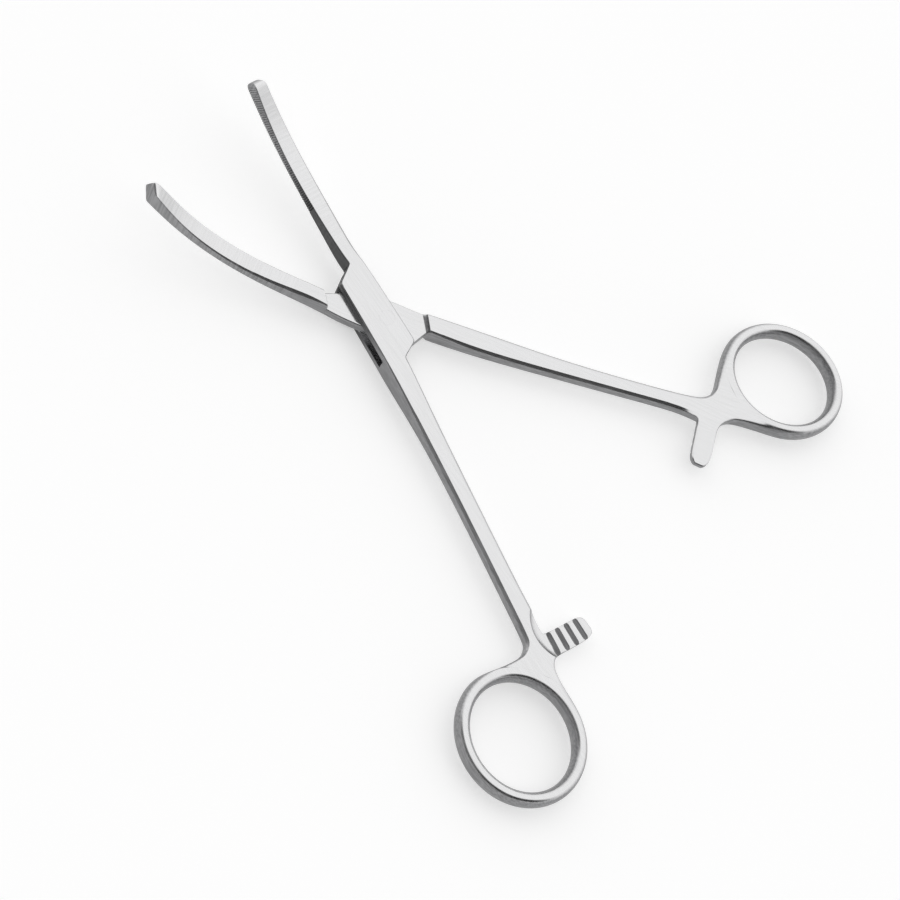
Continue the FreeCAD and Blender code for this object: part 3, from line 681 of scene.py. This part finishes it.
slot_plan = [(14.3, 0.0), (-3.3, -9.1), (-13.4, -9.1), (-6.3, 9.1), (18.3, 9.1), (18.3, 0.0)]
cut_away(female, prism(slot_plan, SLOT_HALF))
cut_away(female, lathe([(0, -THROUGH), (BORE, -THROUGH), (BORE, THROUGH), (0, THROUGH)], (0, 0)))
rim = [(SCOOP_FLAT + SCOOP_RIM * math.sin(math.radians(turn)),
        SCOOP_FLOOR + SCOOP_RIM * (1 - math.cos(math.radians(turn)))) for turn in range(0, 66, 8)]
cut_away(female, lathe([(0, SCOOP_FLOOR), *rim, (rim[-1][0], THROUGH), (0, THROUGH)], SCOOP_CENTRE))
serrate(female, female_paint)
cut_teeth(female, reach=76.15, height=0.32, start=2.6, steel=female_paint)
set_down(female, 1)
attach(female, "female_half")
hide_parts("female_arm")


# The male arm: the other forging, the mirror image of the first, with its middle ground down
# to a web that passes through the box, above and below, and its lock bar's teeth underneath.
WEB_HALF = 1.3              # half the web's height
HEEL_HALF = 2.4             # half the height of the shank's step behind the web
MALE_BORE = 1.74            # radius, with the play that lets the arm turn
WEB_BEVEL = 0.2
BAR_TOP = 1.60              # upper face of the lock bar, level with the shank's
BAR_ROOT = 1.5              # where that face leaves the shank's inner side

male_paint = steel_material("male_steel", -REST_OPENING / 2, 1.0)
cage = bmesh.new()
rows = jaw_rows(cage, reach=0.95, slant=0.75)
jaw_end = len(rows)
web_rows = [
    flat_slab((14.3, GRIP), (12.3, -3.3), BOX_HALF, BOX_BEVEL, JAW_UNDER),
    flat_slab((14.2, GRIP), (12.2, -3.3), WEB_HALF, WEB_BEVEL),
    flat_slab((8.2, 3.0), (7.5, -3.7), WEB_HALF, WEB_BEVEL),
    flat_slab((0.0, 5.1), (0.0, -3.2), WEB_HALF, WEB_BEVEL),
    flat_slab((-5.8, 5.2), (-7.2, -2.4), WEB_HALF, WEB_BEVEL),
    flat_slab((-6.9, 5.3), (-9.1, 1.4), WEB_HALF, WEB_BEVEL),
    flat_slab((-7.4, 5.35), (-9.5, 1.5), 1.7, 0.3),
    flat_slab((-7.9, 5.4), (-9.9, 1.6), HEEL_HALF, 0.4),
    flat_slab((-21.3, 7.5), (-21.3, 2.4), 1.72, SHANK_BEVEL),
    flat_slab((-39.3, 9.4), (-39.3, 5.6), 1.62, SHANK_BEVEL),
    flat_slab((-57.5, 12.5), (-57.5, 8.85), 1.58, SHANK_BEVEL),
    flat_slab((-67.0, 14.3), (-67.0, 10.6), 1.60, SHANK_BEVEL),
]
rows += [add_row(cage, points) for points in web_rows]
bar_start = len(rows)
bar_outer = [(-70.2, 15.3), (-70.9, 15.7), (-71.7, 16.3), (-72.4, 17.1), (-72.8, 18.0), (-73.0, 18.9)]
bar_inner = [(-71.0, 10.4), (-71.6, 10.4), (-73.2, 10.5), (-74.7, 10.5), (-76.0, 10.7), (-76.6, 11.5)]
for outer, inner in zip(bar_outer, bar_inner):
    points = flat_slab(outer, inner, BAR_TOP, SHANK_BEVEL)
    points[INNER_WALL[1]].z = BAR_ROOT
    rows.append(add_row(cage, points))
bar_end = len(rows)
rows.append(add_row(cage, flat_slab((-73.1, 20.2), (-78.4, 13.4), 1.72, SHANK_BEVEL)))
rows.append(add_row(cage, flat_slab((-72.8, 23.5), (-82.0, 14.2), 2.0, SHANK_BEVEL)))
skin(cage, rows, range(bar_start, bar_end - 1), (5, 6))
add_ring(cage, rows[-1])
bar_stops = [(0, 9.4), (0, 6.0), (0, 2.5), (0.3, 0.6), (1.2, -0.3)]
add_bar(cage, rows[bar_start:bar_end], columns=(5, 6, 7), near=71.9, far=76.5, stops=bar_stops,
        top=BAR_TOP, bottom=0.05)
for column in LONG_EDGES:
    crease(cage, [row[column] for row in rows[1:jaw_end + 7]], CRISP_EDGE)
    crease(cage, [row[column] for row in rows[jaw_end + 7:bar_start + 1]], SOFT_EDGE)
for column in OUTER_EDGES:
    crease(cage, [row[column] for row in rows[bar_start:bar_end + 1]], SOFT_EDGE)
for row in (rows[jaw_end], rows[jaw_end + 1]):
    crease(cage, row + row[:1], HARD_EDGE)
for row in (rows[jaw_end + 5], rows[jaw_end + 7]):
    crease(cage, row + row[:1], CRISP_EDGE)
for row in (rows[jaw_end + 2], rows[jaw_end + 3]):
    crease(cage, [row[k] for k in OUTER_WALL], FAINT_EDGE)
crease(cage, [rows[jaw_end + 4][k] for k in INNER_WALL], CRISP_EDGE)
male = smooth_mesh(cage, "male_steel")
cut_away(male, lathe([(0, -THROUGH), (MALE_BORE, -THROUGH), (MALE_BORE, THROUGH), (0, THROUGH)], (0, 0)))
serrate(male, male_paint)
cut_teeth(male, reach=74.2, height=-0.37, start=1.6, steel=male_paint)
set_down(male, -1)
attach(male, "male_half")
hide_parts("male_arm")


# The pin: a steel rivet, peened into the bore and ground flush with both cheeks, so that only
# a hairline shows. The part's own cylinder is exact, and only takes the steel.
pin_paint = steel_material("pin_steel", REST_OPENING / 2, 1.0)
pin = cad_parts["pivot_pin"]
pin.data.materials.clear()
pin.data.materials.append(pin_paint)


# The floor and the light: a white table in a white tent. A dark flag hangs on the camera's
# side of the tent and draws the dark line along every bevel that faces it.
FLOOR_DROP = 0.00005        # keeps the table just clear of the faces that rest on it
FLOOR_SIZE = 4.0
TABLE_WHITE = (0.72, 0.72, 0.72, 1)
TABLE_GLOW = 0.43           # what brings the table to white in the picture
FLAG_LOW = (0.16, 0.26)     # the flag's soft edges, as directions from the table's middle
FLAG_HIGH = (0.74, 0.86)
FLAG_FRONT = (0.0, 0.35)
FLAG_ENDS = (-0.35, 0.6)
FLAG_DARK = (0.97, 0.80)    # how dark the flag is at its two ends

table = bpy.data.meshes.new("table")
corners = ((-1, -1), (1, -1), (1, 1), (-1, 1))
table.from_pydata([(x * FLOOR_SIZE, y * FLOOR_SIZE, -FLOOR_DROP) for x, y in corners], [], [(0, 1, 2, 3)])
floor = bpy.data.objects.new("table", table)
bpy.context.scene.collection.objects.link(floor)
floor_paint = bpy.data.materials.new("white_table")
floor_paint.use_nodes = True
tree = floor_paint.node_tree
shader = tree.nodes["Principled BSDF"]
shader.inputs["Base Color"].default_value = TABLE_WHITE
shader.inputs["Roughness"].default_value = 1.0
shader.inputs["Specular IOR Level"].default_value = 0.0
shader.inputs["Emission Color"].default_value = (1, 1, 1, 1)
seen = shader_node(tree, "ShaderNodeLightPath").outputs
either = shader_node(tree, "ShaderNodeMath", (("operation", "MAXIMUM"),), _0=seen["Is Camera Ray"],
                     _1=seen["Is Glossy Ray"]).outputs[0]
any_seen = shader_node(tree, "ShaderNodeMath", (("operation", "MAXIMUM"),), _0=either,
                       _1=seen["Is Transmission Ray"]).outputs[0]
glow = shader_node(tree, "ShaderNodeMath", (("operation", "MULTIPLY"),), _0=any_seen,
                   _1=TABLE_GLOW).outputs[0]
tree.links.new(glow, shader.inputs["Emission Strength"])
floor.data.materials.append(floor_paint)

world = bpy.data.worlds.new("tent")
bpy.context.scene.world = world
world.use_nodes = True
tree = world.node_tree
direction = shader_node(tree, "ShaderNodeTexCoord").outputs["Generated"]
axes = shader_node(tree, "ShaderNodeSeparateXYZ", Vector=direction).outputs
flag = ramp(tree, axes["Z"], *FLAG_LOW)
for edge in (
    ramp(tree, axes["Z"], *FLAG_HIGH, 1.0, 0.0),
    ramp(tree, axes["Y"], *FLAG_FRONT),
    ramp(tree, axes["X"], *FLAG_ENDS, *FLAG_DARK),
):
    flag = shader_node(tree, "ShaderNodeMath", (("operation", "MULTIPLY"),), _0=flag, _1=edge).outputs[0]
tent_color = shader_node(tree, "ShaderNodeMix", (("data_type", "RGBA"),), Factor=flag)
tent_color.inputs[6].default_value = (1.0, 1.0, 1.0, 1)
tent_color.inputs[7].default_value = (0.0, 0.0, 0.0, 1)
tree.links.new(tent_color.outputs[2], tree.nodes["Background"].inputs["Color"])
tree.nodes["Background"].inputs["Strength"].default_value = 1.0
